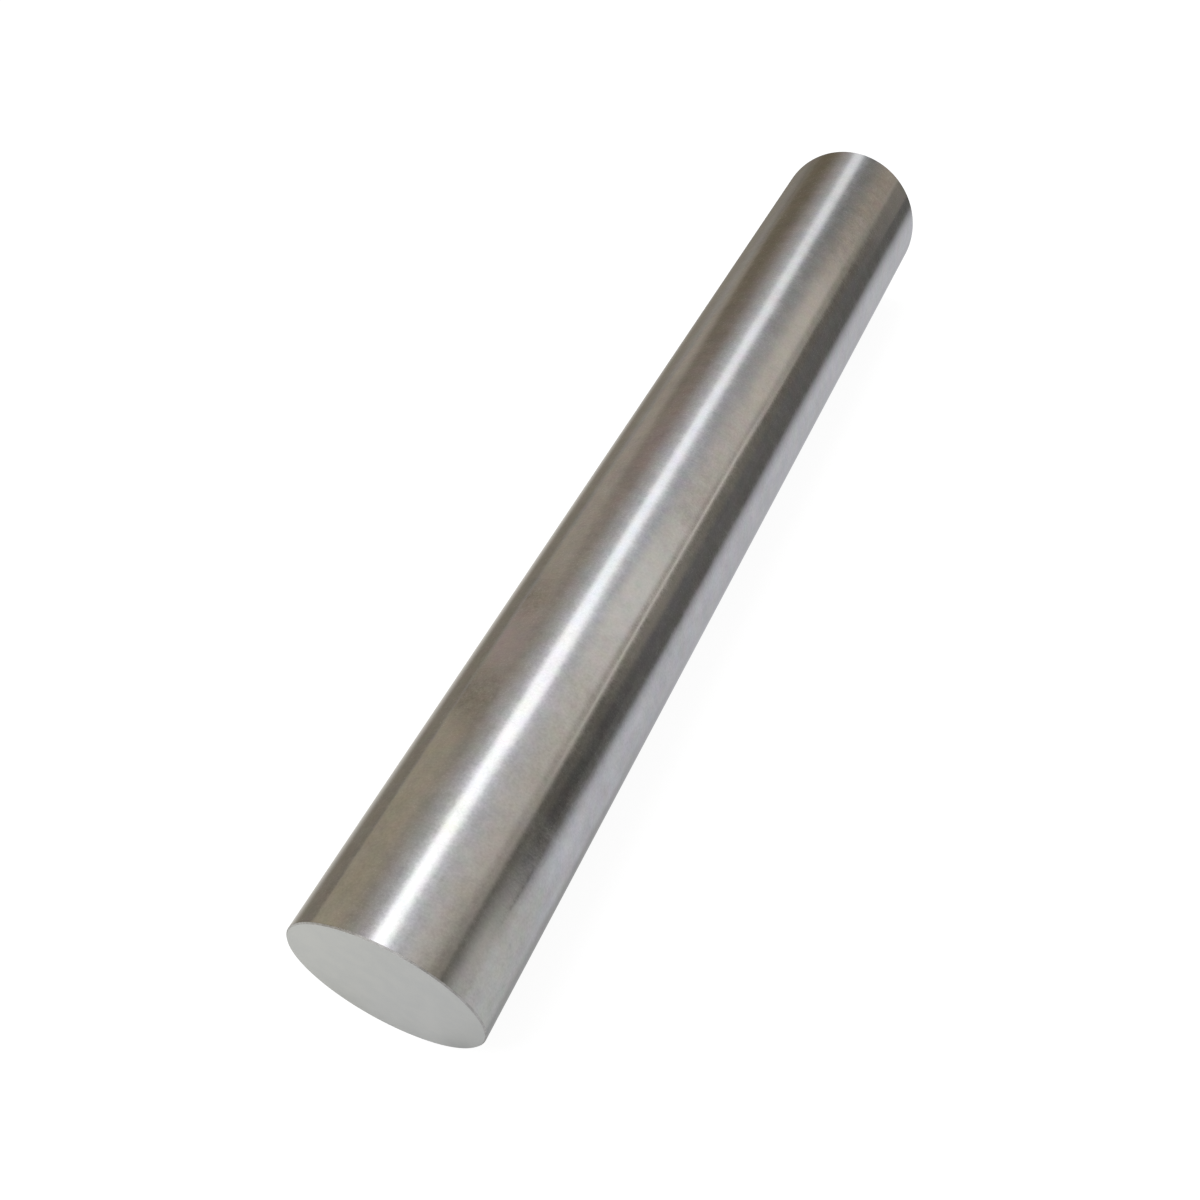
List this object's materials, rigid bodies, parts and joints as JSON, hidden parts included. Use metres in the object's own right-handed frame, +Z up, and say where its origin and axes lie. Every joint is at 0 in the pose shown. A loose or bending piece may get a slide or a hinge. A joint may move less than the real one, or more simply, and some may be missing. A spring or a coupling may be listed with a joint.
{
  "type": "round bar",
  "caption": "Short straight round bar of solid steel, ground smooth all round, with square faced ends and lightly chamfered rims.",
  "frame": {"origin": "on the floor, under the middle of the bar, where the barrel touches the floor", "axes": "+X along the bar's axis, +Z up; the bar lies on its side"},
  "size_m": [0.3, 0.045, 0.045],
  "materials": {
    "ground_steel": "bright ground barrel with fine marks running round it, satin faced ends"
  },
  "bodies": {
    "root": {"round_bar": "ground_steel"}
  },
  "joints": []
}
